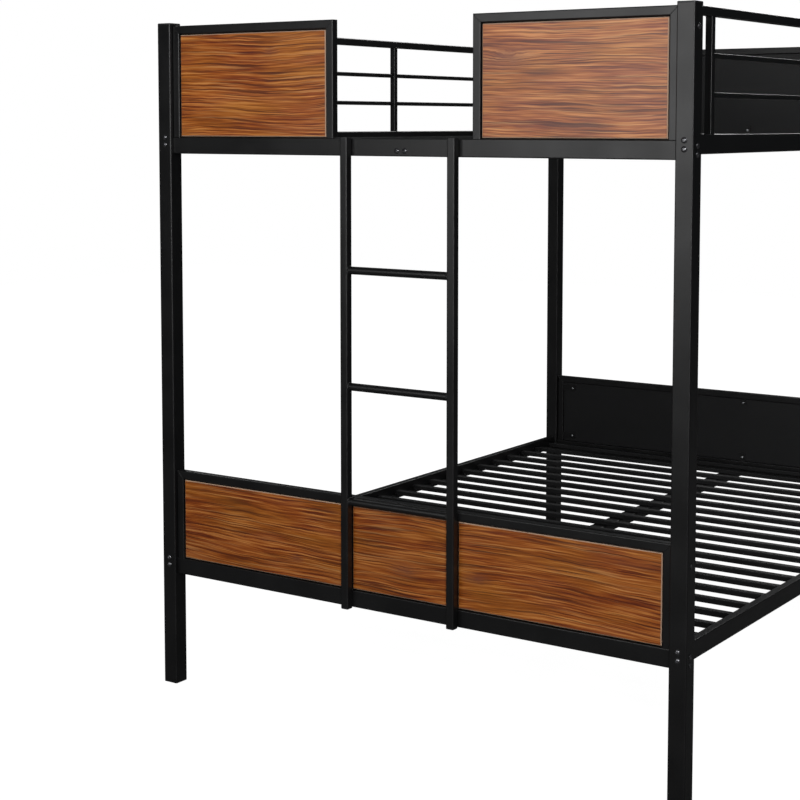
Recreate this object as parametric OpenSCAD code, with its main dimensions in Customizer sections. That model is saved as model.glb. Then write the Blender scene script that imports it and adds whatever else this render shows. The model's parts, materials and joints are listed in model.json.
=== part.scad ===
// Metal and wood bunk bed for two full-size mattresses, with a ladder bolted to its foot end.
// Z is up, X runs across the ladder end and Y from the foot end (-Y) to the head end (+Y).

/* [Overall] */
// Width over the outer faces of the corner posts
bed_w = 1420; // [1000:1:1700]
// Length over the outer faces of the corner posts
bed_l = 1980; // [1900:1:2100]
// Height to the top of the post caps
bed_h = 1638; // [1600:1:1800]

/* [Posts] */
// Side of the square corner post
post_size = 40; // [36:1:45]
// Outer corner radius of the post tube
post_r = 3; // [2:0.5:4]
// Wall thickness of the post tube
post_wall = 1.5; // [1.2:0.1:2]
// Thickness of the cap on top of a post and of the glide under it
cap_t = 4; // [3:0.5:6]

/* [Levels] */
// Height of the underside of the lower end rails
lower_z = 279; // [200:1:320]
// Height from the lower end rails to the upper end rails
level_rise = 1043; // [900:1:1050]
// How much higher the side rails sit than the end rails
side_lift = 11; // [8:1:20]

/* [Frames] */
// Height of the rails at the foot of every end frame, and of the side rails
rail_h = 40; // [38:1:50]
// Thickness of the rails and side of the square frame tubes
tube = 20; // [18:1:22]
// Outer corner radius of the rails and frame tubes
tube_r = 2.5; // [2:0.25:3]
// Wall thickness of the rails and frame tubes
tube_wall = 1.2; // [1:0.1:1.5]
// Clear height of the wood panel openings in the lower end frames
lower_open = 200; // [150:1:240]
// Clear height of the wood panel openings in the upper end frames
upper_open = 249; // [200:1:254]
// Distance from the middle of the foot end to the inner edge of each upper panel frame
entry_half = 187; // [180:1:230]
// Width of the thin dividers behind the ladder in the lower foot frame
divider_w = 12; // [10:1:16]

/* [Panels] */
// Thickness of the wood panels
board_t = 12; // [9:1:15]
// Gap between a panel and the tubes round it
board_gap = 0.5; // [0.5:0.5:3]
// How far a panel's outer face is set back from the tubes
board_inset = 3; // [1:0.5:4]

/* [Ladder] */
// Distance from the middle of the ladder to the middle of a stile
stile_x = 144; // [135:1:160]
// Side of the square ladder stiles
stile = 20; // [18:1:22]
// Diameter of the rungs
rung_d = 18; // [16:0.5:19]
// Height from one rung to the next
rung_step = 267; // [250:0.5:280]

/* [Deck] */
// Number of slats in each deck
slat_count = 21; // [15:2:21]
// Distance from one slat to the next
slat_pitch = 92.3; // [60:0.1:92.4]
// Width of a slat
slat_w = 20; // [18:1:24]
// Thickness of a slat
slat_t = 13; // [8:1:15]
// Width of the centre beam under the slats
beam_w = 40; // [34:1:50]
// Height of the centre beam
beam_t = 20; // [18:1:20]

/* [Guards] */
// Side of the square top bars
guard = 19; // [16:1:20]
// Side of the square guard uprights
guard_post = 16; // [14:1:20]
// Side of the thin guard bars
bar = 11; // [10:1:14]
// Distance from the corner post to the first guard upright
guard_gap = 71; // [30:1:100]

/* [Bolts] */
// Diameter of the bolt shanks
bolt_d = 6; // [5:0.5:7]
// Diameter of the bolt heads
head_d = 13; // [11:0.5:14]
// Height of the bolt heads
head_h = 3.5; // [3:0.25:4]
// Distance between the two bolts of a rail joint
bolt_pitch = 18; // [17:0.5:20]

/* [Hidden] */

fine = 32;
eps = 0.02;
clear = 0.1; // play between parts that only rest beside each other
hole_play = 0.4; // a bolt hole is this much wider than the bolt

// The ladder stands out at the foot end and bolt heads at the head end, so the bed is shifted along Y
// until the origin lies under the middle of everything.
y_shift = (stile - recess() - head_h) / 2;
function recess() = (post_size - tube) / 2;

post_x = bed_w / 2 - post_size / 2;
post_y = bed_l / 2 - post_size / 2;
inner_x = bed_w / 2 - post_size; // inner faces of the posts
inner_y = bed_l / 2 - post_size;
frame_y = bed_l / 2 - recess(); // outer face of the end frames
frame_in_y = frame_y - tube; // inner face of the end frames
side_in_x = bed_w / 2 - recess() - tube; // inner face of the side rails
upper_z = lower_z + level_rise;
stile_y = frame_y + stile / 2; // distance of the ladder's middle plane from the bed's middle
slat_top = 35.5; // height of the slats' tops above an end rail's underside
slat_z = slat_top - slat_t;
beam_z = slat_z - beam_t;
ledge_t = 2;
ledge_w = 18;
plate_t = 3;
tab_t = 2;
tab_h = 20;
tab_reach = 44; // length of a tab beside an upright
tab_rise = 19; // height of a tab's middle above the rail or below the top tube
screw_in = 34; // distance of a corner screw from the upright
mid_screw_in = 12; // distance of a middle screw from the rail or the top tube
guard_top_z = bed_h - 6;
guard_y = inner_y - guard_gap - guard_post / 2;
corners = [for (sx = [-1, 1], sy = [-1, 1]) [sx, sy]];

// ---- shapes that repeat ----

module rounded_rect(w, h, r) {
    square([w - 2 * r, h], center = true);
    square([w, h - 2 * r], center = true);
    for (sx = [-1, 1], sy = [-1, 1]) translate([sx * (w / 2 - r), sy * (h / 2 - r)]) circle(r, $fn = fine);
}

// A tube along Z from 0 to len, centred on X and Y
module tube_z(w, h, len, r, wall) {
    linear_extrude(len) difference() {
        rounded_rect(w, h, r);
        rounded_rect(w - 2 * wall, h - 2 * wall, r - wall);
    }
}

// A tube along X, centred, w thick along Y and h high
module tube_x(w, h, len, r = tube_r, wall = tube_wall) {
    translate([-len / 2, 0, 0]) rotate([90, 0, 90]) tube_z(w, h, len, r, wall);
}

// A tube along Y, centred, w thick along X and h high
module tube_y(w, h, len, r = tube_r, wall = tube_wall) {
    translate([0, len / 2, 0]) rotate([90, 0, 0]) tube_z(w, h, len, r, wall);
}

// A top tube along X whose ends are cut at 45 degrees, longest along its top face
module mitred_top(len) {
    difference() {
        tube_x(tube, tube, len);
        for (s = [-1, 1]) translate([s * len / 2, 0, tube / 2]) rotate([0, -s * 45, 0])
            translate([0, 0, -tube]) cube([4 * tube, 2 * tube, 2 * tube], center = true);
    }
}

// A post for a mitred corner: along Z from 0 to len, with its top cut so that side s is the long one
module mitred_upright(len, s) {
    difference() {
        tube_z(tube, tube, len, tube_r, tube_wall);
        translate([s * tube / 2, 0, len]) rotate([0, -s * 45, 0])
            translate([0, 0, tube]) cube([4 * tube, 2 * tube, 2 * tube], center = true);
    }
}

// A button-head bolt with a hex socket: its shank runs along -Z from the seat at 0
module bolt(len) {
    crown = head_h + 0.4; // the dome's height before its top is cut flat
    dome_r = (head_d * head_d / 4 + crown * crown) / (2 * crown) + 1;
    difference() {
        union() {
            intersection() {
                cylinder(d = head_d, h = head_h, $fn = fine);
                translate([0, 0, crown - dome_r]) sphere(dome_r, $fn = 64);
            }
            translate([0, 0, -len]) cylinder(d = bolt_d, h = len + eps, $fn = fine);
        }
        translate([0, 0, head_h - 2]) cylinder(d = 4.6, h = 4, $fn = 6);
    }
}

module bolt_hole(len) {
    cylinder(d = bolt_d + hole_play, h = len, center = true, $fn = fine);
}

// Puts its children, drawn along +Z, on a bolt axis that comes out of the foot or head end at (x, z)
module facing_end(sy, x, y, z) {
    translate([x, sy * y, z]) rotate([-sy * 90, 0, 0]) children();
}

// The same, out of the left or right side
module facing_side(sx, x, y, z) {
    translate([sx * x, y, z]) rotate([0, sx * 90, 0]) children();
}

module placed() {
    translate([0, y_shift, 0]) children();
}

function levels() = [lower_z, upper_z];
function opening(level) = level == lower_z ? lower_open : upper_open;
function frame_top(level) = level + rail_h + opening(level) + tube;
function side_bolt_zs(level) = [for (s = [-1, 1]) level + side_lift + rail_h / 2 + s * bolt_pitch / 2];
function end_bolt_zs(level) = [for (s = [-1, 1]) level + rail_h / 2 + s * bolt_pitch / 2];
function high_bolt_z(level) = frame_top(level) - 43;
// The lower beam is welded to the foot end's rail. Its other end and the upper beam are bolted.
function beam_is_bolted(sy, level) = sy > 0 || level == upper_z;
function rung_z(n) = lower_z + n * rung_step - 17.5;

// ---- posts ----

module post(sx, sy) {
    color("#232326") placed() translate([sx * post_x, sy * post_y, 0]) difference() {
        translate([0, 0, cap_t]) tube_z(post_size, post_size, bed_h - 2 * cap_t, post_r, post_wall);
        for (level = levels()) {
            for (z = side_bolt_zs(level)) translate([0, 0, z]) rotate([90, 0, 0]) bolt_hole(2 * post_size);
            for (z = concat(end_bolt_zs(level), [high_bolt_z(level)]))
                translate([0, 0, z]) rotate([0, 90, 0]) bolt_hole(2 * post_size);
        }
    }
}

module post_foot_left() { post(-1, -1); }
module post_foot_right() { post(1, -1); }
module post_head_left() { post(-1, 1); }
module post_head_right() { post(1, 1); }

// A moulded plug that closes a square tube: a thin plate with softened edges and a hollow stem inside the tube
module plug(side, r, wall, plate, stem) {
    inner = side - 2 * wall - 2 * clear;
    linear_extrude(plate - 1) rounded_rect(side, side, r);
    translate([0, 0, plate - 1 - eps]) linear_extrude(1 + eps) rounded_rect(side - 2, side - 2, r - 1);
    translate([0, 0, -stem]) linear_extrude(stem + eps) difference() {
        rounded_rect(inner, inner, r - wall);
        rounded_rect(inner - 4, inner - 4, 0.5);
    }
}

module post_caps() {
    color("#18181a") placed() for (c = corners)
        translate([c[0] * post_x, c[1] * post_y, bed_h - cap_t]) plug(post_size, post_r, post_wall, cap_t, 18);
}

module post_glides() {
    color("#18181a") placed() for (c = corners)
        translate([c[0] * post_x, c[1] * post_y, cap_t]) mirror([0, 0, 1])
            plug(post_size, post_r, post_wall, cap_t, 18);
}

// ---- end frames: a high rail, then uprights and a top tube round the wood panels ----

frame_mid_y = frame_y - tube / 2;
outer_upright_x = inner_x - tube / 2;
entry_upright_x = entry_half + tube / 2;

module end_rail(sy, level) {
    color("#232326") placed() translate([0, sy * frame_mid_y, level + rail_h / 2]) difference() {
        tube_x(tube, rail_h, 2 * inner_x);
        if (beam_is_bolted(sy, level)) for (sx = [-1, 1])
            translate([sx * beam_bolt_x, 0, beam_z + beam_t / 2 - rail_h / 2])
                rotate([90, 0, 0]) bolt_hole(2 * tube);
        if (sy < 0) for (sx = [-1, 1]) translate([sx * stile_x, 0, 0]) rotate([90, 0, 0]) bolt_hole(2 * tube);
    }
}

module upright(x, sy, level, s) {
    drop = opening(level) + tube;
    translate([x, sy * frame_mid_y, level + rail_h]) difference() {
        mitred_upright(drop, s);
        if (abs(x) > inner_x / 2) translate([0, 0, high_bolt_z(level) - level - rail_h])
            rotate([0, 90, 0]) bolt_hole(2 * tube);
    }
}

module top_tube(x, len, sy, level) {
    translate([x, sy * frame_mid_y, frame_top(level) - tube / 2]) mitred_top(len);
}

module outer_uprights(sy, level) {
    for (sx = [-1, 1]) upright(sx * outer_upright_x, sy, level, sx);
}

module foot_lower_rail() { end_rail(-1, lower_z); }
module foot_lower_top_tube() { color("#232326") placed() top_tube(0, 2 * inner_x, -1, lower_z); }
module foot_lower_uprights() { color("#232326") placed() outer_uprights(-1, lower_z); }
module foot_lower_dividers() {
    color("#232326") placed() for (sx = [-1, 1]) translate([sx * stile_x, -frame_mid_y, lower_z + rail_h])
        tube_z(divider_w, tube, lower_open, 1.5, 1);
}

module foot_upper_rail() { end_rail(-1, upper_z); }
module foot_upper_top_tubes() {
    len = inner_x - entry_half;
    color("#232326") placed() for (sx = [-1, 1]) top_tube(sx * (entry_half + len / 2), len, -1, upper_z);
}
module foot_upper_uprights() {
    color("#232326") placed() {
        outer_uprights(-1, upper_z);
        for (sx = [-1, 1]) upright(sx * entry_upright_x, -1, upper_z, -sx);
    }
}

module head_lower_rail() { end_rail(1, lower_z); }
module head_lower_top_tube() { color("#232326") placed() top_tube(0, 2 * inner_x, 1, lower_z); }
module head_lower_uprights() { color("#232326") placed() outer_uprights(1, lower_z); }
module head_upper_rail() { end_rail(1, upper_z); }
module head_upper_top_tube() { color("#232326") placed() top_tube(0, 2 * inner_x, 1, upper_z); }
module head_upper_uprights() { color("#232326") placed() outer_uprights(1, upper_z); }

// ---- wood panels ----
// Each panel is [left edge, right edge, end, level] of the opening that it fills.

open_x = inner_x - tube; // where the outermost openings end
entry_x = entry_half + tube;
divider_x = stile_x + divider_w / 2;
middle_x = stile_x - divider_w / 2;
board_y = frame_y - board_inset - board_t / 2;
PANELS = [
    [-open_x, -divider_x, -1, lower_z], [-middle_x, middle_x, -1, lower_z], [divider_x, open_x, -1, lower_z],
    [-open_x, -entry_x, -1, upper_z], [entry_x, open_x, -1, upper_z],
    [-open_x, open_x, 1, lower_z], [-open_x, open_x, 1, upper_z]
];

module board(n) {
    p = PANELS[n];
    w = p[1] - p[0] - 2 * board_gap;
    h = opening(p[3]) - 2 * board_gap;
    color("#a05a2c") placed()
        translate([(p[0] + p[1]) / 2, p[2] * board_y, p[3] + rail_h + opening(p[3]) / 2])
            cube([w, board_t, h], center = true);
}

module foot_lower_panel_left() { board(0); }
module foot_lower_panel_middle() { board(1); }
module foot_lower_panel_right() { board(2); }
module foot_upper_panel_left() { board(3); }
module foot_upper_panel_right() { board(4); }
module head_lower_panel() { board(5); }
module head_upper_panel() { board(6); }

// Every panel is screwed, from inside the bed, to tabs welded to the tubes round it.
tab_y = frame_y - board_inset - board_t - tab_t / 2;
function is_wide(p) = p[1] - p[0] > inner_x;

// Places its children, drawn with +Z out of the bed's inner side, at every screw of panel p.
// $edge is the direction of the tube that carries the tab: [sx, sz].
module at_screws(p) {
    low = p[3] + rail_h;
    high = low + opening(p[3]);
    for (sx = [-1, 1], sz = [-1, 1]) {
        $edge = [sx, 0];
        x = sx < 0 ? p[0] + screw_in : p[1] - screw_in;
        z = sz < 0 ? low + tab_rise : high - tab_rise;
        facing_end(-p[2], x, -tab_y, z) children();
    }
    if (is_wide(p)) for (sz = [-1, 1]) {
        $edge = [0, sz];
        facing_end(-p[2], 0, -tab_y, sz < 0 ? low + mid_screw_in : high - mid_screw_in) children();
    }
}

module tab(sy) {
    across = $edge[1] == 0;
    near = across ? tab_reach - screw_in : mid_screw_in;
    far = across ? screw_in : mid_screw_in;
    // the local X axis is the bed's, and the local Y axis is up or down with the end of the bed
    dir = across ? $edge[0] : $edge[1] * sy;
    difference() {
        linear_extrude(tab_t, center = true)
            if (across) translate([dir > 0 ? -near : -far, -tab_h / 2]) square([near + far, tab_h]);
            else translate([-tab_h / 2, dir > 0 ? -near : -far]) square([tab_h, near + far]);
        cylinder(d = 4.4, h = 2 * tab_t, center = true, $fn = fine);
    }
}

module panel_tabs() {
    color("#232326") placed() for (p = PANELS) at_screws(p) tab(p[2]);
}

// A pan-head wood screw, seated on the tab
module wood_screw() {
    difference() {
        union() {
            translate([0, 0, tab_t / 2]) intersection() {
                cylinder(d = 8, h = 2.2, $fn = fine);
                translate([0, 0, -3.4]) sphere(5.6, $fn = 48);
            }
            translate([0, 0, tab_t / 2 - 10]) cylinder(d = 3.9, h = 10 + eps, $fn = fine);
        }
        for (a = [0, 90]) rotate(a) translate([0, 0, tab_t / 2 + 2]) cube([4, 0.9, 1.8], center = true);
    }
}

module panel_screws() {
    color("#6e6e72") placed() for (p = PANELS) at_screws(p) wood_screw();
}

// ---- side rails, ledges, beams and slats ----

rail_len = 2 * inner_y;
beam_len = 2 * frame_in_y;
beam_bolt_x = 10.75;

module side_rail(sx, level) {
    color("#232326") placed() translate([sx * post_x, 0, level + side_lift + rail_h / 2])
        tube_y(tube, rail_h, rail_len);
}

module side_rail_lower_left() { side_rail(-1, lower_z); }
module side_rail_lower_right() { side_rail(1, lower_z); }
module side_rail_upper_left() { side_rail(-1, upper_z); }
module side_rail_upper_right() { side_rail(1, upper_z); }

// Angle irons along the side rails' inner faces, which the slats lie on
module ledges(level) {
    drop = slat_z - side_lift;
    color("#232326") placed() for (sx = [-1, 1]) mirror([sx < 0 ? 1 : 0, 0, 0])
        translate([side_in_x, -beam_len / 2, level + slat_z]) rotate([90, 0, 180])
            linear_extrude(beam_len) {
                translate([0, -ledge_t]) square([ledge_w, ledge_t]);
                translate([0, -drop]) square([ledge_t, drop]);
            }
}

module slat_ledges_lower() { ledges(lower_z); }
module slat_ledges_upper() { ledges(upper_z); }

module centre_beam(level) {
    color("#232326") placed() translate([0, 0, level + beam_z + beam_t / 2])
        tube_y(beam_w, beam_t, beam_len);
}

module centre_beam_lower() { centre_beam(lower_z); }
module centre_beam_upper() { centre_beam(upper_z); }

module slats(level) {
    half = (slat_count - 1) / 2;
    color("#1d1d20") placed() for (n = [-half:half])
        translate([0, n * slat_pitch, level + slat_z + slat_t / 2])
            tube_x(slat_w, slat_t, 2 * side_in_x - 2, 2, 1);
}

module slats_lower() { slats(lower_z); }
module slats_upper() { slats(upper_z); }

// ---- guards on both long sides of the upper bed ----

guard_low_z = upper_z + side_lift + rail_h;
bar_step = (guard_top_z - guard - guard_low_z) / 3;

module guard_top_bar(sx) {
    color("#232326") placed() translate([sx * post_x, 0, guard_top_z - guard / 2])
        tube_y(guard, guard, 2 * inner_y - 1);
}

module guard_bars(sx) {
    len = guard_y - guard_post;
    color("#232326") placed() for (sy = [-1, 1], n = [1, 2])
        translate([sx * post_x, sy * guard_y / 2, guard_low_z + n * bar_step]) tube_y(bar, bar, len, 1.5, 1);
}

module guard_uprights(sx) {
    color("#232326") placed() for (n = [-1, 0, 1]) translate([sx * post_x, n * guard_y, guard_low_z])
        tube_z(guard_post, guard_post, guard_top_z - guard - guard_low_z, 2, tube_wall);
}

module guard_left_top_bar() { guard_top_bar(-1); }
module guard_left_bars() { guard_bars(-1); }
module guard_left_uprights() { guard_uprights(-1); }
module guard_right_top_bar() { guard_top_bar(1); }
module guard_right_bars() { guard_bars(1); }
module guard_right_uprights() { guard_uprights(1); }

// ---- ladder, bolted to the outside of the foot end ----

plug_t = 3;
stile_low = lower_z - 2 + plug_t;
stile_high = upper_z + rail_h + 2 - plug_t;
ladder_bolt_zs = [lower_z + rail_h / 2, upper_z + rail_h / 2];

module ladder_stile(sx) {
    color("#232326") placed() translate([sx * stile_x, -stile_y, 0]) difference() {
        translate([0, 0, stile_low]) tube_z(stile, stile, stile_high - stile_low, 3, tube_wall);
        for (z = ladder_bolt_zs) translate([0, stile / 2, z]) rotate([90, 0, 0]) bolt_hole(stile);
    }
}

module ladder_rung(n) {
    color("#232326") placed() translate([0, -stile_y, rung_z(n)]) rotate([0, 90, 0]) difference() {
        cylinder(d = rung_d, h = 2 * stile_x - stile, center = true, $fn = 64);
        cylinder(d = rung_d - 2 * tube_wall, h = 2 * stile_x, center = true, $fn = 64);
    }
}

module ladder_stile_left() { ladder_stile(-1); }
module ladder_stile_right() { ladder_stile(1); }
module ladder_rung_bottom() { ladder_rung(1); }
module ladder_rung_middle() { ladder_rung(2); }
module ladder_rung_top() { ladder_rung(3); }

module ladder_plugs() {
    color("#18181a") placed() for (sx = [-1, 1]) translate([sx * stile_x, -stile_y, 0]) {
        translate([0, 0, stile_high]) plug(stile, 3, tube_wall, plug_t, 6);
        translate([0, 0, stile_low]) mirror([0, 0, 1]) plug(stile, 3, tube_wall, plug_t, 6);
    }
}

// ---- nuts, plugs and bolts ----

// Threaded plates welded inside the ends of the rails and beams
module nut_plate(w, h, bolt_points) {
    difference() {
        cube([w, h, plate_t], center = true);
        for (p = bolt_points) translate(p) cylinder(d = bolt_d + clear, h = 2 * plate_t, center = true, $fn = fine);
    }
}

module rail_nut_plates() {
    rail_points = [for (s = [-1, 1]) [0, s * bolt_pitch / 2, 0]];
    beam_points = [for (s = [-1, 1]) [s * beam_bolt_x, 0, 0]];
    inside = 2 * tube_wall + 2 * clear;
    color("#8a8a8e") placed() for (level = levels()) {
        for (c = corners) {
            facing_end(c[1], c[0] * post_x, inner_y - plate_t / 2 - 1, level + side_lift + rail_h / 2)
                nut_plate(tube - inside, rail_h - inside, rail_points);
            facing_side(c[0], inner_x - plate_t / 2 - 1, c[1] * frame_mid_y, level + rail_h / 2)
                rotate(90) nut_plate(tube - inside, rail_h - inside, rail_points);
        }
        for (sy = [-1, 1]) if (beam_is_bolted(sy, level))
            facing_end(sy, 0, frame_in_y - plate_t / 2 - 1, level + beam_z + beam_t / 2)
                nut_plate(beam_w - inside, beam_t - inside, beam_points);
    }
}

// Insert nuts in the outer uprights and in the ladder stiles
module insert_nut() {
    difference() {
        cylinder(d = 10, h = 9, $fn = fine);
        translate([0, 0, -1]) cylinder(d = bolt_d + clear, h = 11, $fn = fine);
    }
}

module upright_nuts() {
    color("#8a8a8e") placed() {
        for (level = levels(), c = corners)
            facing_side(c[0], inner_x - tube_wall - clear - 9, c[1] * frame_mid_y, high_bolt_z(level)) insert_nut();
        for (sx = [-1, 1], z = ladder_bolt_zs)
            facing_end(-1, sx * stile_x, frame_y + tube_wall + clear, z) insert_nut();
    }
}

module side_rail_bolts() {
    color("#3a3a3e") placed() for (level = levels(), c = corners, z = side_bolt_zs(level))
        facing_end(c[1], c[0] * post_x, bed_l / 2, z) bolt(post_size + 8);
}

module end_frame_bolts() {
    color("#3a3a3e") placed() for (level = levels(), c = corners)
        for (z = concat(end_bolt_zs(level), [high_bolt_z(level)]))
            facing_side(c[0], bed_w / 2, c[1] * frame_mid_y, z) bolt(post_size + 8);
}

module beam_bolts() {
    color("#3a3a3e") placed() for (level = levels(), sy = [-1, 1], sx = [-1, 1]) if (beam_is_bolted(sy, level))
        facing_end(sy, sx * beam_bolt_x, frame_y, level + beam_z + beam_t / 2) bolt(tube + 8);
}

module ladder_bolts() {
    color("#3a3a3e") placed() for (sx = [-1, 1], z = ladder_bolt_zs)
        facing_end(1, sx * stile_x, -frame_in_y, z) bolt(tube + 10);
}

post_foot_left();
post_foot_right();
post_head_left();
post_head_right();
post_caps();
post_glides();
foot_lower_rail();
foot_lower_top_tube();
foot_lower_uprights();
foot_lower_dividers();
foot_lower_panel_left();
foot_lower_panel_middle();
foot_lower_panel_right();
foot_upper_rail();
foot_upper_top_tubes();
foot_upper_uprights();
foot_upper_panel_left();
foot_upper_panel_right();
head_lower_rail();
head_lower_top_tube();
head_lower_uprights();
head_lower_panel();
head_upper_rail();
head_upper_top_tube();
head_upper_uprights();
head_upper_panel();
panel_tabs();
panel_screws();
side_rail_lower_left();
side_rail_lower_right();
side_rail_upper_left();
side_rail_upper_right();
slat_ledges_lower();
slat_ledges_upper();
centre_beam_lower();
centre_beam_upper();
slats_lower();
slats_upper();
guard_left_top_bar();
guard_left_bars();
guard_left_uprights();
guard_right_top_bar();
guard_right_bars();
guard_right_uprights();
ladder_stile_left();
ladder_stile_right();
ladder_rung_top();
ladder_rung_middle();
ladder_rung_bottom();
ladder_plugs();
rail_nut_plates();
upright_nuts();
side_rail_bolts();
end_frame_bolts();
beam_bolts();
ladder_bolts();
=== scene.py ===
"""Looks of a black steel bunk bed with walnut panels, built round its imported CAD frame. Metres, Z up."""
import json
import math

import bmesh
import bpy
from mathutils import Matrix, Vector


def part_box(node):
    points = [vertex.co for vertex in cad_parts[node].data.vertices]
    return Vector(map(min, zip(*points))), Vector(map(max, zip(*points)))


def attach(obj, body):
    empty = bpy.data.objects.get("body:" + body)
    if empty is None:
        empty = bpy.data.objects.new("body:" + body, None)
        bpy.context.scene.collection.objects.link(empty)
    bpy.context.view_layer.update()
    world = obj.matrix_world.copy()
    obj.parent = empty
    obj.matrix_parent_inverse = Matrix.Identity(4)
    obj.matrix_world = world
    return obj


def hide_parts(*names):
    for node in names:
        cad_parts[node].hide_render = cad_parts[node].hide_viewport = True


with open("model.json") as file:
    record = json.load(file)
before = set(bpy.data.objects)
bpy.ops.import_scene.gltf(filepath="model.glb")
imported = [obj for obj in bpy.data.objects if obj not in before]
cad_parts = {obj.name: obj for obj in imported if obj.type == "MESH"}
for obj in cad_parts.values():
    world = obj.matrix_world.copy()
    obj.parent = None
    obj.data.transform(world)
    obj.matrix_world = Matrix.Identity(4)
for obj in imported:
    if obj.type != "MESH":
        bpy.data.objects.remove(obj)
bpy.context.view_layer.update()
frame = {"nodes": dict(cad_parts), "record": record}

X, Z = Vector((1, 0, 0)), Vector((0, 0, 1))
MM = 0.001


# ---- node materials ----

class Finish:
    """A Principled material and short calls for its nodes. Patterns are in metres in the bed's frame."""

    def __init__(self, name, **constants):
        self.material = bpy.data.materials.new(name)
        self.material.use_nodes = True
        self.tree = self.material.node_tree
        self.shader = self.tree.nodes["Principled BSDF"]
        for socket, value in constants.items():
            self.shader.inputs[socket.replace("_", " ")].default_value = value
        self.place = self.node("ShaderNodeTexCoord").outputs["Object"]

    def node(self, kind, inputs=(), **settings):
        node = self.tree.nodes.new(kind)
        for key, value in settings.items():
            setattr(node, key, value)
        for key, value in dict(inputs).items():
            self.feed(node.inputs[key], value)
        return node

    def feed(self, socket, value):
        """Links a node's output to the socket, or sets the socket to a constant."""
        if isinstance(value, bpy.types.NodeSocket):
            self.tree.links.new(value, socket)
        else:
            socket.default_value = value

    def drive(self, socket, value):
        """Feeds an input of the Principled shader."""
        self.feed(self.shader.inputs[socket], value)

    def math(self, operation, *values):
        return self.node("ShaderNodeMath", enumerate(values), operation=operation).outputs[0]

    def length(self, vector):
        return self.node("ShaderNodeVectorMath", {0: vector}, operation="LENGTH").outputs["Value"]

    def scaled(self, place, scale, shift=(0, 0, 0)):
        inputs = {"Vector": place, "Location": shift, "Scale": scale}
        return self.node("ShaderNodeMapping", inputs).outputs[0]

    def noise(self, scale, detail=2, roughness=0.5, distortion=0, place=None):
        """Noise from 0 to 1 with features about 1 / scale metres across, for one scale or one per axis."""
        where = self.scaled(place or self.place, scale if isinstance(scale, tuple) else (scale,) * 3)
        inputs = {"Vector": where, "Scale": 1, "Detail": detail, "Roughness": roughness,
                  "Distortion": distortion}
        return self.node("ShaderNodeTexNoise", inputs).outputs["Fac"]

    def remap(self, value, low, high, to_low=0.0, to_high=1.0):
        """Stretches low to high onto to_low to to_high, and holds at the ends."""
        inputs = {"Value": value, "From Min": low, "From Max": high, "To Min": to_low, "To Max": to_high}
        return self.node("ShaderNodeMapRange", inputs).outputs["Result"]

    def mix(self, share, first, second):
        """The first colour where share is 0 and the second where it is 1."""
        node = self.node("ShaderNodeMix", data_type="RGBA")
        colours = [s for s in node.inputs if s.type == "RGBA"]
        self.feed(node.inputs[0], share)
        for socket, colour in zip(colours, (first, second)):
            self.feed(socket, colour if isinstance(colour, bpy.types.NodeSocket) else (*colour, 1))
        return next(s for s in node.outputs if s.type == "RGBA")

    def ramp(self, value, *stops):
        """A colour ramp with a (position, colour) at each stop."""
        node = self.node("ShaderNodeValToRGB", {"Fac": value})
        elements = node.color_ramp.elements
        while len(elements) < len(stops):
            elements.new(0.5)
        for element, (position, colour) in zip(elements, stops):
            element.position = position
            element.color = (*colour, 1)
        return node.outputs["Color"]

    def bump(self, *layers):
        """Stacks (height, depth in metres) layers into the shader's normal."""
        normal = None
        for height, depth in layers:
            inputs = {"Height": height, "Distance": depth, "Strength": 1}
            if normal:
                inputs["Normal"] = normal
            normal = self.node("ShaderNodeBump", inputs).outputs["Normal"]
        self.drive("Normal", normal)


# ---- camera, light and stage ----

SENSOR_MM = 36
LENS_MM = 77.5
LENS_SHIFT_UP = -0.172
CAMERA_AT = (2.157, -4.149, 1.395)
CAMERA_TILT_DOWN = 0.0804
CAMERA_TURN_LEFT = 0.5975

# name, place, aimed at, width, height, watts
SOFTBOXES = (
    ("softbox_front", (-0.75, -4.2, 2.0), (-0.75, 0, 2.0), 2.2, 2.2, 44),
    ("softbox_key", (3.0, -4.9, 2.2), (0, -0.6, 1.25), 0.8, 2.6, 104),
    ("softbox_side", (4.4, -2.4, 3.6), (0, 0, 0.9), 1.6, 1.6, 38),
    ("softbox_back", (-4.4, 1.6, 3.4), (0, 0, 0.9), 2.4, 2.4, 34),
    ("softbox_rear", (-0.2, 4.3, 4.4), (0, 0.9, 0.95), 1.5, 1.8, 110),
)

WORLD_TINT = (0.9, 0.95, 1.0, 1)
WORLD_IN_REFLECTIONS = 0.03
WORLD_TO_CAMERA = 1.0

FLOOR_HALF = 9
FLOOR_GREY = (0.16, 0.16, 0.16, 1)
FLOOR_FADE = (1.0, 2.4)
FLOOR_GLOW = (0.965, 1.0)


def add_camera():
    """Stands off the bed's right foot corner and looks at the ladder end through a lens shifted downwards."""
    data = bpy.data.cameras.new("camera")
    data.sensor_width = SENSOR_MM
    data.lens = LENS_MM
    data.shift_y = LENS_SHIFT_UP
    camera = bpy.data.objects.new("camera", data)
    camera.location = CAMERA_AT
    camera.rotation_euler = (math.pi / 2 - CAMERA_TILT_DOWN, 0, CAMERA_TURN_LEFT)
    bpy.context.scene.collection.objects.link(camera)
    bpy.context.scene.camera = camera


def add_softbox(name, at, towards, width, height, watts):
    data = bpy.data.lights.new(name, "AREA")
    data.shape = "RECTANGLE"
    data.size = width
    data.size_y = height
    data.energy = watts
    light = bpy.data.objects.new(name, data)
    light.location = at
    light.rotation_euler = (Vector(towards) - Vector(at)).to_track_quat("-Z", "Y").to_euler()
    light.visible_camera = False
    bpy.context.scene.collection.objects.link(light)


def light_studio():
    """A softbox ahead that the right-hand fronts mirror, a tall strip by the camera, and one on each side."""
    for softbox in SOFTBOXES:
        add_softbox(*softbox)


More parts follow.
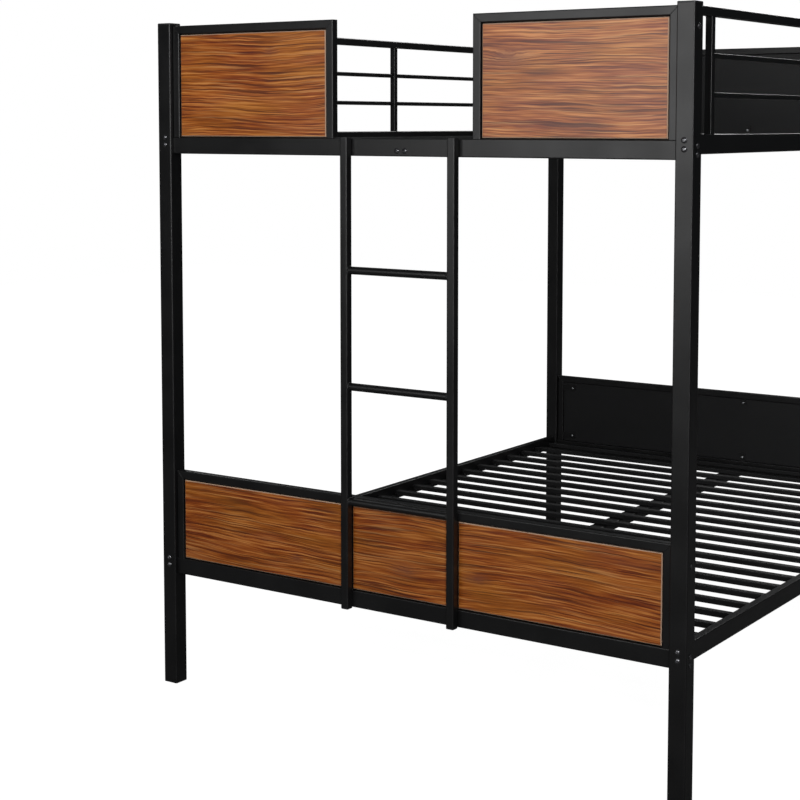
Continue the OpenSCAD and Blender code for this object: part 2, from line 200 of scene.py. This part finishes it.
def seen_by_camera(nodes):
    return nodes.new("ShaderNodeLightPath").outputs["Is Camera Ray"]


def light_world():
    """White where the camera sees it, and dim in reflections, like a lit backdrop in a dark studio."""
    world = bpy.data.worlds.new("studio")
    bpy.context.scene.world = world
    world.use_nodes = True
    nodes, links = world.node_tree.nodes, world.node_tree.links
    dim = nodes["Background"]
    dim.inputs["Color"].default_value = WORLD_TINT
    dim.inputs["Strength"].default_value = WORLD_IN_REFLECTIONS
    white = nodes.new("ShaderNodeBackground")
    white.inputs["Color"].default_value = (1, 1, 1, 1)
    white.inputs["Strength"].default_value = WORLD_TO_CAMERA
    choice = nodes.new("ShaderNodeMixShader")
    links.new(seen_by_camera(nodes), choice.inputs["Fac"])
    links.new(dim.outputs[0], choice.inputs[1])
    links.new(white.outputs[0], choice.inputs[2])
    links.new(choice.outputs[0], nodes["World Output"].inputs["Surface"])


def floor_material():
    """Paper: near white to the camera, pure white away from the bed, and dark grey in reflections."""
    f = Finish("floor_paper", Base_Color=FLOOR_GREY, Roughness=1, Specular_IOR_Level=0)
    strength = f.remap(f.length(f.place), *FLOOR_FADE, *FLOOR_GLOW)
    glow = f.node("ShaderNodeEmission", {"Strength": strength})
    lit = f.node("ShaderNodeAddShader", {0: f.shader.outputs[0], 1: glow.outputs[0]})
    share = seen_by_camera(f.tree.nodes)
    choice = f.node("ShaderNodeMixShader", {0: share, 1: f.shader.outputs[0], 2: lit.outputs[0]})
    f.feed(f.tree.nodes["Material Output"].inputs["Surface"], choice.outputs[0])
    return f.material


def add_floor():
    mesh = bpy.data.meshes.new("floor")
    corners = [(x * FLOOR_HALF, y * FLOOR_HALF, 0) for x, y in ((-1, -1), (1, -1), (1, 1), (-1, 1))]
    mesh.from_pydata(corners, [], [(0, 1, 2, 3)])
    mesh.materials.append(floor_material())
    floor = bpy.data.objects.new("floor", mesh)
    bpy.context.scene.collection.objects.link(floor)


# ---- metal and plastic ----

# where most of a noise pattern's values lie
NOISE_RANGE = (0.3, 0.7)

FRAME_COAT, FRAME_ROUGH = (0.0045, 0.0045, 0.0048), 0.36
SLAT_COAT, SLAT_ROUGH = (0.0040, 0.0040, 0.0043), 0.42
COAT_DARKER, COAT_PALER = 0.85, 1.2
COAT_SPECK, SPECK_SHARE, SPECK_RANGE = (0.035, 0.035, 0.037), 0.2, (0.66, 0.74)
COAT_GLOSSIER, COAT_DULLER = 0.05, 0.06
COAT_PEEL_DEPTH = 0.04 * MM

PLASTIC_DARK, PLASTIC_PALE = (0.008, 0.008, 0.009), (0.018, 0.018, 0.019)
PLASTIC_ROUGH, PLASTIC_GRAIN_DEPTH = (0.42, 0.58), 0.05 * MM

OXIDE, RUBBED, BARE = (0.07, 0.07, 0.073), (0.16, 0.16, 0.17), (0.45, 0.45, 0.46)
BOLT_ROUGH, BOLT_GRAIN_DEPTH = (0.30, 0.18), 0.03 * MM

ZINC_DARK, ZINC_PALE = (0.36, 0.37, 0.39), (0.66, 0.67, 0.69)
ZINC_ROUGH = (0.28, 0.5)


def powder_coat(name, base, rough):
    """Satin black powder coat: orange peel about a millimetre across, changes of gloss, fine pale specks."""
    f = Finish(name, Specular_IOR_Level=0.5)
    cloud = f.noise(9, detail=3)
    peel = f.noise(900, detail=2, roughness=0.6)
    specks = f.remap(f.noise(2600, detail=1), *SPECK_RANGE)
    tone = f.remap(cloud, *NOISE_RANGE)
    coat = f.mix(tone, [c * COAT_DARKER for c in base], [c * COAT_PALER for c in base])
    gloss = f.math("ADD", cloud, f.math("MULTIPLY", peel, 0.4))
    f.drive("Base Color", f.mix(f.math("MULTIPLY", specks, SPECK_SHARE), coat, COAT_SPECK))
    f.drive("Roughness", f.remap(gloss, 0.45, 0.95, rough - COAT_GLOSSIER, rough + COAT_DULLER))
    f.bump((peel, COAT_PEEL_DEPTH))
    return f.material


def black_plastic():
    """Moulded plastic: matt, with a fine spark-eroded grain."""
    f = Finish("black_plastic", Specular_IOR_Level=0.5)
    grain = f.noise(1500, detail=3, roughness=0.7)
    f.drive("Base Color", f.mix(f.noise(40, detail=3), PLASTIC_DARK, PLASTIC_PALE))
    f.drive("Roughness", f.remap(grain, *NOISE_RANGE, *PLASTIC_ROUGH))
    f.bump((grain, PLASTIC_GRAIN_DEPTH))
    return f.material


def blackened_bolt():
    """Black oxide on steel, rubbed a little brighter in places."""
    f = Finish("bolt_steel", Metallic=0.85)
    wear = f.noise(260, detail=4, roughness=0.65)
    f.drive("Base Color", f.ramp(wear, (0.35, OXIDE), (0.62, RUBBED), (0.75, BARE)))
    f.drive("Roughness", f.remap(wear, *NOISE_RANGE, *BOLT_ROUGH))
    f.bump((f.noise(1800, detail=1), BOLT_GRAIN_DEPTH))
    return f.material


def zinc_plate():
    """Zinc plate with cloudy grey spangle."""
    f = Finish("zinc_steel", Metallic=1.0)
    spangle = f.node("ShaderNodeTexVoronoi", {"Vector": f.place, "Scale": 700}).outputs["Distance"]
    cloud = f.noise(120, detail=4)
    f.drive("Base Color", f.mix(f.math("MULTIPLY", spangle, cloud), ZINC_DARK, ZINC_PALE))
    f.drive("Roughness", f.remap(cloud, *NOISE_RANGE, *ZINC_ROUGH))
    return f.material


# ---- board ----

# features per metre along the grain (X), through the board (Y) and across the grain (Z)
SWAY, RIPPLE, KNOT_SWIRL = (1.6, 1, 4), (9, 1, 20), (30, 1, 60)
BANDS, STREAKS, FIBRES = (1.8, 1, 36), (3.4, 1, 190), (9, 1, 340)
YELLOW_CLOUDS, PINK_CLOUDS, PALE_LINES = (4, 1, 18), (5, 1, 26), (4, 1, 230)
DARK_LINES, FLAMES = (3.6, 1, 225), (5, 1, 34)

# how far each pattern bends the grain, in metres or as a share of the knot's reach
SWAY_LIFT, RIPPLE_LIFT, KNOT_LIFT = 0.06, 0.009, 0.25
KNOT_FLATNESS = 2.6
KNOT_TINT = 1.9

# the shares of bands, streaks and fibres in the tone, and the range of it that the stops cover
BANDS_SHARE, STREAKS_SHARE, FIBRES_SHARE = 0.22, 0.50, 0.46
TONE_RANGE = (0.48, 0.71)
WOOD_STOPS = ((0.0, (0.110, 0.012, 0.001)), (0.30, (0.275, 0.052, 0.003)),
              (0.60, (0.450, 0.117, 0.014)), (1.0, (0.720, 0.280, 0.068)))
HONEY, ROSE, CREAM = (0.50, 0.19, 0.012), (0.42, 0.125, 0.045), (0.78, 0.37, 0.12)
# SHADOW is the colour of painted shade, mixed into boards that stand in less light
PORE, PLUM, SHADOW = (0.090, 0.014, 0.001), (0.16, 0.048, 0.034), (0.02, 0.006, 0.003)
WOOD_ROUGH, STREAK_DEPTH, PORE_DEPTH = (0.38, 0.30), 0.10 * MM, 0.06 * MM

FIBRE_DARK, FIBRE_PALE = (0.40, 0.24, 0.15), (0.66, 0.46, 0.33)
EDGE_ROUGH, EDGE_CHIP_DEPTH = (0.5, 0.75), 0.08 * MM

BACKING_DARK, BACKING_PALE = (0.004, 0.004, 0.0045), (0.008, 0.008, 0.009)
BACKING_ROUGH, WEAVE_DEPTH = (0.40, 0.52), 0.03 * MM


def centred(f, value, reach):
    """Turns noise from 0 to 1 into a shift of reach metres, centred on 0."""
    return f.math("MULTIPLY", f.math("SUBTRACT", value, 0.5), reach)


def walnut(name, shift, knot, painted_shade):
    """Printed walnut laminate with its grain along X.

    shift picks a stretch of the pattern, knot is the x, z and reach of one soft knot, and the last argument
    is the share of painted shade mixed into the colour, for the boards that stand in less light.
    """
    f = Finish(name, Specular_IOR_Level=0.62)
    place = f.scaled(f.place, (1, 1, 1), shift)
    sway = f.noise(SWAY, detail=1, place=place)
    ripple = f.noise(RIPPLE, detail=2, place=place)
    lift = f.math("ADD", centred(f, sway, SWAY_LIFT), centred(f, ripple, RIPPLE_LIFT))
    knot_x, knot_z, reach = knot
    away = f.scaled(f.place, (1 / reach, 0, KNOT_FLATNESS / reach),
                    (-knot_x / reach, 0, -KNOT_FLATNESS * knot_z / reach))
    nearness = f.remap(f.length(away), 1.0, 0.0)
    nearness = f.math("MULTIPLY", nearness, f.noise(KNOT_SWIRL, detail=2, place=place))
    lift = f.math("ADD", lift, f.math("MULTIPLY", nearness, KNOT_LIFT * reach))
    offset = f.node("ShaderNodeCombineXYZ", {"Z": lift}).outputs[0]
    grain = f.node("ShaderNodeVectorMath", {0: place, 1: offset}, operation="ADD").outputs[0]

    bands = f.noise(BANDS, detail=2, place=grain)
    streaks = f.noise(STREAKS, detail=3, roughness=0.6, place=grain)
    fibres = f.noise(FIBRES, detail=2, place=grain)
    tone = f.math("ADD", f.math("MULTIPLY", bands, BANDS_SHARE), f.math("MULTIPLY", streaks, STREAKS_SHARE))
    tone = f.math("ADD", tone, f.math("MULTIPLY", fibres, FIBRES_SHARE))
    colour = f.ramp(f.remap(tone, *TONE_RANGE), *WOOD_STOPS)

    yellow = f.remap(f.noise(YELLOW_CLOUDS, detail=1, place=place), 0.45, 0.70)
    pink = f.remap(f.noise(PINK_CLOUDS, detail=1, place=grain), 0.52, 0.72)
    pale = f.remap(f.noise(PALE_LINES, detail=1, place=grain), 0.58, 0.68)
    dark = f.remap(f.noise(DARK_LINES, detail=3, place=grain), 0.56, 0.62)
    flame = f.remap(f.noise(FLAMES, detail=2, distortion=0.5, place=grain), 0.64, 0.80)
    flame = f.math("MAXIMUM", flame, f.math("MULTIPLY", nearness, KNOT_TINT))
    for layer, strength, tint in ((yellow, 0.35, HONEY), (pink, 0.30, ROSE), (pale, 0.50, CREAM),
                                  (dark, 0.80, PORE), (flame, 0.55, PLUM)):
        colour = f.mix(f.math("MULTIPLY", layer, strength), colour, tint)
    # painted shade: each board's colour is darkened towards SHADOW by its share
    f.drive("Base Color", f.mix(painted_shade, colour, SHADOW))
    f.drive("Roughness", f.remap(streaks, *NOISE_RANGE, *WOOD_ROUGH))
    f.bump((streaks, STREAK_DEPTH), (f.math("SUBTRACT", 1.0, dark), PORE_DEPTH))
    return f.material


def board_edge():
    """The pale cut edge of the fibre board, showing along the laminate's chamfer."""
    f = Finish("board_edge", Specular_IOR_Level=0.4)
    chips = f.noise(600, detail=4, roughness=0.7)
    f.drive("Base Color", f.mix(chips, FIBRE_DARK, FIBRE_PALE))
    f.drive("Roughness", f.remap(chips, *NOISE_RANGE, *EDGE_ROUGH))
    f.bump((chips, EDGE_CHIP_DEPTH))
    return f.material


def board_back():
    """Black melamine backing paper with a faint woven texture."""
    f = Finish("board_back", Specular_IOR_Level=0.45)
    weave = f.noise((700, 700, 120), detail=2)
    f.drive("Base Color", f.mix(f.noise((6, 6, 14), detail=4), BACKING_DARK, BACKING_PALE))
    f.drive("Roughness", f.remap(weave, *NOISE_RANGE, *BACKING_ROUGH))
    f.bump((weave, WEAVE_DEPTH))
    return f.material


# ---- mesh helpers ----

def add_piece(name, bm, materials, replaced=(), smooth=True):
    """Turns a bmesh in the bed's frame into a piece that rides with the bed."""
    bmesh.ops.recalc_face_normals(bm, faces=bm.faces)
    mesh = bpy.data.meshes.new(name)
    bm.to_mesh(mesh)
    bm.free()
    for material in materials:
        mesh.materials.append(material)
    for face in mesh.polygons:
        face.use_smooth = smooth
    piece = bpy.data.objects.new(name, mesh)
    bpy.context.scene.collection.objects.link(piece)
    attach(piece, "root")
    if replaced:
        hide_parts(*replaced)


def bridge(bm, rings):
    """Faces between each closed ring of vertices and the next."""
    return [bm.faces.new((a[i - 1], a[i], b[i], b[i - 1]))
            for a, b in zip(rings, rings[1:]) for i in range(len(a))]


def rounded_square(side, radius, steps):
    """Points round a square with rounded corners, centred on 0."""
    half = side / 2 - radius
    points = []
    for quarter, (sx, sy) in enumerate(((1, 1), (-1, 1), (-1, -1), (1, -1))):
        for i in range(steps + 1):
            a = math.pi / 2 * (quarter + i / steps)
            points.append((sx * half + radius * math.cos(a), sy * half + radius * math.sin(a)))
    return points


# ---- wood panels ----

# node: (shift of the pattern, (x, z, reach) of the knot, share of painted shade); the lower boards get the
# most painted shade
BOARDS = {
    "foot_lower_panel_left": ((0.31, 0.0, 0.43), (-0.30, 0.37, 0.03), 0.11),
    "foot_lower_panel_middle": ((2.7, 0.0, 1.9), (0.01, 0.385, 0.05), 0.15),
    "foot_lower_panel_right": ((4.15, 0.0, 3.02), (0.20, 0.395, 0.05), 0.13),
    "foot_upper_panel_left": ((6.4, 0.0, 5.2), (-0.371, 1.563, 0.03), 0.0),
    "foot_upper_panel_right": ((8.6, 0.0, 7.45), (0.275, 1.536, 0.08), 0.03),
    "head_lower_panel": ((11.3, 0.0, 9.1), (-0.35, 0.44, 0.05), 0.0),
    "head_upper_panel": ((14.2, 0.0, 11.6), (0.22, 1.47, 0.07), 0.0),
}

# (inset from the board's sides, depth from the wood face): the wood face, its chamfer, a groove, the shoulder
FACE_PROFILE = ((4.0 * MM, 0), (2.0 * MM, 1.8 * MM), (1.8 * MM, 4.5 * MM), (0.4 * MM, 5.0 * MM),
                (0, 5.6 * MM))
BACK_CHAMFER = 0.6 * MM


def panel_rings(bm, low, high, outward):
    """Rectangles of the board from its wood face back to its black face."""
    thick = high.y - low.y
    outer = high.y if outward > 0 else low.y
    rings = []
    for inset, depth in (*FACE_PROFILE, (0, thick - BACK_CHAMFER), (BACK_CHAMFER, thick)):
        y = outer - outward * depth
        rings.append([bm.verts.new((x, y, z)) for x, z in (
            (low.x + inset, low.z + inset), (high.x - inset, low.z + inset),
            (high.x - inset, high.z - inset), (low.x + inset, high.z - inset))])
    return rings


def add_panel(node, look, edge, back):
    """A board with a wood face, a pale chamfer round it, and a black shoulder and back."""
    low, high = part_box(node)
    outward = -1 if low.y < 0 else 1
    bm = bmesh.new()
    rings = panel_rings(bm, low, high, outward)
    bm.faces.new(rings[0])
    for face in bridge(bm, rings[:2]):
        face.material_index = 1
    for face in bridge(bm, rings[1:]) + [bm.faces.new(rings[-1])]:
        face.material_index = 2
    materials = (walnut("walnut_" + node, *look), edge, back)
    add_piece("board_" + node, bm, materials, (node,), smooth=False)


# ---- weld beads ----

BEAD_SIDES = 8
BEAD_STEP = 0.6 * MM
TACK_STEP = 1.2 * MM
LEAST_STEPS = 3
RIPPLE_PITCH = 2.2 * MM
RIPPLE_HEIGHT = 0.16
END_SIZE, END_GROWTH = 0.45, 0.3
NEAR_UPRIGHT = 0.9
RING_POINTS = 120
SEAM_SQUASH = (0.35, 1)

# radii of the beads
RUNG_BEAD = 1.9 * MM
BEAM_BEAD = 1.8 * MM
FRAME_BEAD = 1.4 * MM
SEAM_BEAD = 0.9 * MM
BAR_BEAD = 1.3 * MM
GUARD_BEAD = 1.6 * MM
SLAT_BEAD = 1.7 * MM

# how far a bead stays from the edges of its tube
BEAM_MARGIN = 3.0 * MM
FRAME_MARGIN = 2.5 * MM
GUARD_MARGIN = 2.0 * MM
SEAM_MARGIN = 1.5 * MM
TACK_MARGIN = 4.0 * MM

SEAM_DROP = 17 * MM
BAR_CORNER = 2.2 * MM
TACK_LENGTH = 11 * MM
TACK_RISE = 0.6 * MM
TOUCHING = 1.0 * MM


def bead(bm, points, radius, closed=False, squash=(1, 1)):
    """A rippled weld bead along points. squash scales its section along its side and up vectors."""
    count = len(points)
    sections = []
    run = 0.0
    for i, point in enumerate(points):
        before = points[i - 1] if closed or i else points[i]
        after = points[(i + 1) % count] if closed or i < count - 1 else points[i]
        ahead = (after - before).normalized()
        side = ahead.orthogonal().normalized()
        if abs(ahead.z) < NEAR_UPRIGHT:
            side = ahead.cross(Z).normalized()
        up = side.cross(ahead)
        end = min(i, count - 1 - i)
        taper = 1 if closed else min(1, END_SIZE + END_GROWTH * end)
        size = radius * (1 + RIPPLE_HEIGHT * math.sin(2 * math.pi * run / RIPPLE_PITCH)) * taper
        section = []
        for k in range(BEAD_SIDES):
            a = 2 * math.pi * k / BEAD_SIDES
            sideways, upwards = size * squash[0] * math.cos(a), size * squash[1] * math.sin(a)
            section.append(bm.verts.new(point + side * sideways + up * upwards))
        sections.append(section)
        run += (after - point).length
    bridge(bm, sections + sections[:1] if closed else sections)
    if not closed:
        bm.faces.new(sections[0])
        bm.faces.new(sections[-1])


def line(start, end, step=BEAD_STEP):
    count = max(LEAST_STEPS, round((end - start).length / step))
    return [start.lerp(end, i / count) for i in range(count + 1)]


def bead_across(bm, y_range, x, z, margin, radius):
    """A bead along Y, short of both ends of y_range by the margin."""
    bead(bm, line(Vector((x, y_range[0] + margin, z)), Vector((x, y_range[1] - margin, z))), radius)


def ring_points(centre, axis, radius):
    """Points round a circle about axis."""
    side = axis.orthogonal().normalized()
    up = axis.cross(side)
    return [centre + radius * (math.cos(a) * side + math.sin(a) * up)
            for a in (2 * math.pi * i / RING_POINTS for i in range(RING_POINTS))]


def islands(node):
    """The (low, high) boxes of a CAD node's separate solids."""
    mesh = frame["nodes"][node].data
    group = list(range(len(mesh.vertices)))

    def root(i):
        while group[i] != i:
            group[i] = group[group[i]]
            i = group[i]
        return i

    seen = {}
    for vertex in mesh.vertices:
        key = tuple(round(c, 6) for c in vertex.co)
        group[root(vertex.index)] = root(seen.setdefault(key, vertex.index))
    for edge in mesh.edges:
        a, b = edge.vertices
        group[root(a)] = root(b)
    boxes = {}
    for vertex in mesh.vertices:
        low, high = boxes.setdefault(root(vertex.index), (vertex.co.copy(), vertex.co.copy()))
        for k in range(3):
            low[k] = min(low[k], vertex.co[k])
            high[k] = max(high[k], vertex.co[k])
    return sorted(boxes.values(), key=lambda box: tuple(box[0]))


def weld_ladder(material):
    """A bead round each end of each rung."""
    bm = bmesh.new()
    for node in ("ladder_rung_bottom", "ladder_rung_middle", "ladder_rung_top"):
        low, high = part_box(node)
        centre = (low + high) / 2
        radius = (high.z - low.z) / 2
        for x in (low.x, high.x):
            bead(bm, ring_points(Vector((x, centre.y, centre.z)), X, radius), RUNG_BEAD, closed=True)
    add_piece("welds_ladder", bm, (material,))


def weld_beam(material):
    """Beads up both sides of the lower centre beam, where it meets the foot rail."""
    bm = bmesh.new()
    low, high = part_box("centre_beam_lower")
    for x in (low.x, high.x):
        bottom, top = Vector((x, low.y, low.z + BEAM_MARGIN)), Vector((x, low.y, high.z - BEAM_MARGIN))
        bead(bm, line(bottom, top), BEAM_BEAD)
    add_piece("welds_beam", bm, (material,))


def weld_end_frames(material):
    """Short beads at the open sides of uprights and dividers, and mitre seams at the top tubes' corners."""
    bm = bmesh.new()
    post_face = abs(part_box("post_foot_left")[1].x)
    for node in ("foot_lower_uprights", "foot_upper_uprights", "head_lower_uprights", "head_upper_uprights",
                 "foot_lower_dividers"):
        for low, high in islands(node):
            ends = (low.z, high.z) if node.endswith("dividers") else (low.z,)
            for x in (low.x, high.x):
                if abs(abs(x) - post_face) < TOUCHING:
                    continue
                for z in ends:
                    bead_across(bm, (low.y, high.y), x, z, FRAME_MARGIN, FRAME_BEAD)
    for node in ("foot_lower_top_tube", "foot_upper_top_tubes", "head_lower_top_tube", "head_upper_top_tube"):
        for low, high in islands(node):
            for x, inwards in ((low.x, 1), (high.x, -1)):
                for y in (low.y, high.y):
                    start = Vector((x + inwards * SEAM_MARGIN, y, high.z - SEAM_MARGIN))
                    seam = line(start, start + (X * inwards - Z) * SEAM_DROP)
                    bead(bm, seam, SEAM_BEAD, squash=SEAM_SQUASH)
    add_piece("welds_end_frames", bm, (material,))


def weld_guards(material):
    """Beads round the ends of the thin bars, and round the tops and feet of the uprights."""
    bm = bmesh.new()
    for side in ("left", "right"):
        for low, high in islands(f"guard_{side}_bars"):
            centre = (low + high) / 2
            section = rounded_square(high.x - low.x, BAR_CORNER, steps=12)
            for y in (low.y, high.y):
                loop = [Vector((centre.x + px, y, centre.z + pz)) for px, pz in section]
                bead(bm, loop, BAR_BEAD, closed=True)
        for low, high in islands(f"guard_{side}_uprights"):
            for z in (low.z, high.z):
                for y in (low.y, high.y):
                    left, right = low.x + GUARD_MARGIN, high.x - GUARD_MARGIN
                    bead(bm, line(Vector((left, y, z)), Vector((right, y, z))), GUARD_BEAD)
                for x in (low.x, high.x):
                    bead_across(bm, (low.y, high.y), x, z, GUARD_MARGIN, GUARD_BEAD)
    add_piece("welds_guards", bm, (material,))


def weld_slats(level, material):
    """Two tacks at each end of every slat, where it lies on its ledge."""
    bm = bmesh.new()
    for low, high in islands(f"slats_{level}"):
        for x, inwards in ((low.x, 1), (high.x, -1)):
            for y in (low.y, high.y):
                start = Vector((x + inwards * TACK_MARGIN, y, low.z + TACK_RISE))
                bead(bm, line(start, start + X * inwards * TACK_LENGTH, step=TACK_STEP), SLAT_BEAD)
    add_piece(f"welds_slats_{level}", bm, (material,))


def add_welds(frame_metal, slat_metal):
    weld_ladder(frame_metal)
    weld_beam(frame_metal)
    weld_end_frames(frame_metal)
    weld_guards(frame_metal)
    for level in ("lower", "upper"):
        weld_slats(level, slat_metal)


# ---- the scene ----

def paint_cad(finishes):
    """Gives every CAD node the finish of its slot in the record."""
    for part in frame["record"]["subparts"]:
        mesh = frame["nodes"][part["node"]].data
        mesh.materials.clear()
        mesh.materials.append(finishes[part["material_slot"]])


def build():
    bpy.context.scene.view_settings.view_transform = "Standard"
    frame_metal = powder_coat("frame_metal", FRAME_COAT, FRAME_ROUGH)
    slat_metal = powder_coat("slat_metal", SLAT_COAT, SLAT_ROUGH)
    edge, back = board_edge(), board_back()
    paint_cad({"frame_metal": frame_metal, "slat_metal": slat_metal, "wood_panel": back,
               "black_plastic": black_plastic(), "bolt_steel": blackened_bolt(), "zinc_steel": zinc_plate()})
    for node, look in BOARDS.items():
        add_panel(node, look, edge, back)
    add_welds(frame_metal, slat_metal)
    add_camera()
    light_studio()
    light_world()
    add_floor()


build()
